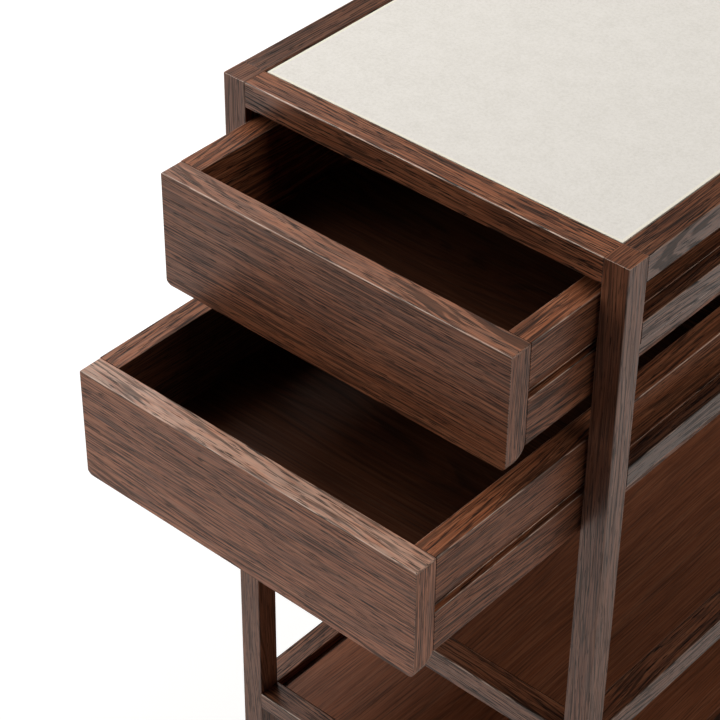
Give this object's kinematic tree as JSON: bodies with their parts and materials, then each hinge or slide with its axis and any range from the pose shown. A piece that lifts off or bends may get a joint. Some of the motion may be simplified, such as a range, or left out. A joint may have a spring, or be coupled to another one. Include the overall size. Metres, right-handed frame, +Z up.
{
  "type": "utility trolley",
  "caption": "Open smoked-oak kitchen trolley with an inset pale top, two pull-out drawers on side runners, two open shelves and swivel castors.",
  "frame": {"origin": "on the floor, in the middle of the footprint with both drawers pulled out as stored", "axes": "+Z up; -Y is the front, towards which the drawers open; +X to the right seen from the front"},
  "size_m": [0.48, 0.856, 0.95],
  "materials": {
    "oak_frame": "smoked oak, satin oil, open pores",
    "oak_drawer": "smoked oak, satin oil, open pores",
    "oak_board": "smoked oak veneer, satin",
    "top_laminate": "pale matt, faintly mottled",
    "castor_metal": "satin dark bronze paint",
    "castor_wheel": "matt",
    "castor_tyre": "soft matt"
  },
  "bodies": {
    "carcass": {"front_left_post": "oak_frame", "front_right_post": "oak_frame", "rear_left_post": "oak_frame", "rear_right_post": "oak_frame", "top_front_rail": "oak_frame", "top_rear_rail": "oak_frame", "top_left_rail": "oak_frame", "top_right_rail": "oak_frame", "top_panel": "top_laminate", "top_cleats": "oak_board", "upper_left_lath": "oak_frame", "upper_right_lath": "oak_frame", "upper_rear_lath": "oak_frame", "lower_left_lath": "oak_frame", "lower_right_lath": "oak_frame", "lower_rear_lath": "oak_frame", "upper_left_runner": "oak_frame", "upper_right_runner": "oak_frame", "lower_left_runner": "oak_frame", "lower_right_runner": "oak_frame", "mid_front_rail": "oak_frame", "mid_rear_rail": "oak_frame", "mid_left_rail": "oak_frame", "mid_right_rail": "oak_frame", "mid_shelf_board": "oak_board", "mid_shelf_cleats": "oak_board", "low_front_rail": "oak_frame", "low_rear_rail": "oak_frame", "low_left_rail": "oak_frame", "low_right_rail": "oak_frame", "low_shelf_board": "oak_board", "low_shelf_cleats": "oak_board", "castor_sleeves": "castor_metal"},
    "upper_drawer": {"upper_drawer_front": "oak_drawer", "upper_drawer_left_side": "oak_drawer", "upper_drawer_right_side": "oak_drawer", "upper_drawer_back": "oak_drawer", "upper_drawer_bottom": "oak_board"},
    "lower_drawer": {"lower_drawer_front": "oak_drawer", "lower_drawer_left_side": "oak_drawer", "lower_drawer_right_side": "oak_drawer", "lower_drawer_back": "oak_drawer", "lower_drawer_bottom": "oak_board"},
    "front_left_castor": {"front_left_fork": "castor_metal", "front_left_axle": "castor_metal"},
    "front_left_castor_wheel": {"front_left_wheel": "castor_wheel", "front_left_tyre": "castor_tyre"},
    "front_right_castor": {"front_right_fork": "castor_metal", "front_right_axle": "castor_metal"},
    "front_right_castor_wheel": {"front_right_wheel": "castor_wheel", "front_right_tyre": "castor_tyre"},
    "rear_left_castor": {"rear_left_fork": "castor_metal", "rear_left_axle": "castor_metal"},
    "rear_left_castor_wheel": {"rear_left_wheel": "castor_wheel", "rear_left_tyre": "castor_tyre"},
    "rear_right_castor": {"rear_right_fork": "castor_metal", "rear_right_axle": "castor_metal"},
    "rear_right_castor_wheel": {"rear_right_wheel": "castor_wheel", "rear_right_tyre": "castor_tyre"}
  },
  "joints": [
    {"name": "upper_drawer_slide", "type": "slide", "parent": "carcass", "child": "upper_drawer", "axis": [0, -1, 0], "range_m": [-0.118, 0.252]},
    {"name": "lower_drawer_slide", "type": "slide", "parent": "carcass", "child": "lower_drawer", "axis": [0, -1, 0], "range_m": [-0.236, 0.134]},
    {"name": "front_left_swivel", "type": "hinge", "parent": "carcass", "child": "front_left_castor", "pos_m": [-0.226, -0.178, 0.046], "axis": [0, 0, 1], "continuous": true},
    {"name": "front_left_roll", "type": "hinge", "parent": "front_left_castor", "child": "front_left_castor_wheel", "pos_m": [-0.226, -0.162, 0.019], "axis": [1, 0, 0], "continuous": true},
    {"name": "front_right_swivel", "type": "hinge", "parent": "carcass", "child": "front_right_castor", "pos_m": [0.226, -0.178, 0.046], "axis": [0, 0, 1], "continuous": true},
    {"name": "front_right_roll", "type": "hinge", "parent": "front_right_castor", "child": "front_right_castor_wheel", "pos_m": [0.226, -0.162, 0.019], "axis": [1, 0, 0], "continuous": true},
    {"name": "rear_left_swivel", "type": "hinge", "parent": "carcass", "child": "rear_left_castor", "pos_m": [-0.226, 0.414, 0.046], "axis": [0, 0, 1], "continuous": true},
    {"name": "rear_left_roll", "type": "hinge", "parent": "rear_left_castor", "child": "rear_left_castor_wheel", "pos_m": [-0.226, 0.398, 0.019], "axis": [1, 0, 0], "continuous": true},
    {"name": "rear_right_swivel", "type": "hinge", "parent": "carcass", "child": "rear_right_castor", "pos_m": [0.226, 0.414, 0.046], "axis": [0, 0, 1], "continuous": true},
    {"name": "rear_right_roll", "type": "hinge", "parent": "rear_right_castor", "child": "rear_right_castor_wheel", "pos_m": [0.226, 0.398, 0.019], "axis": [1, 0, 0], "continuous": true}
  ]
}
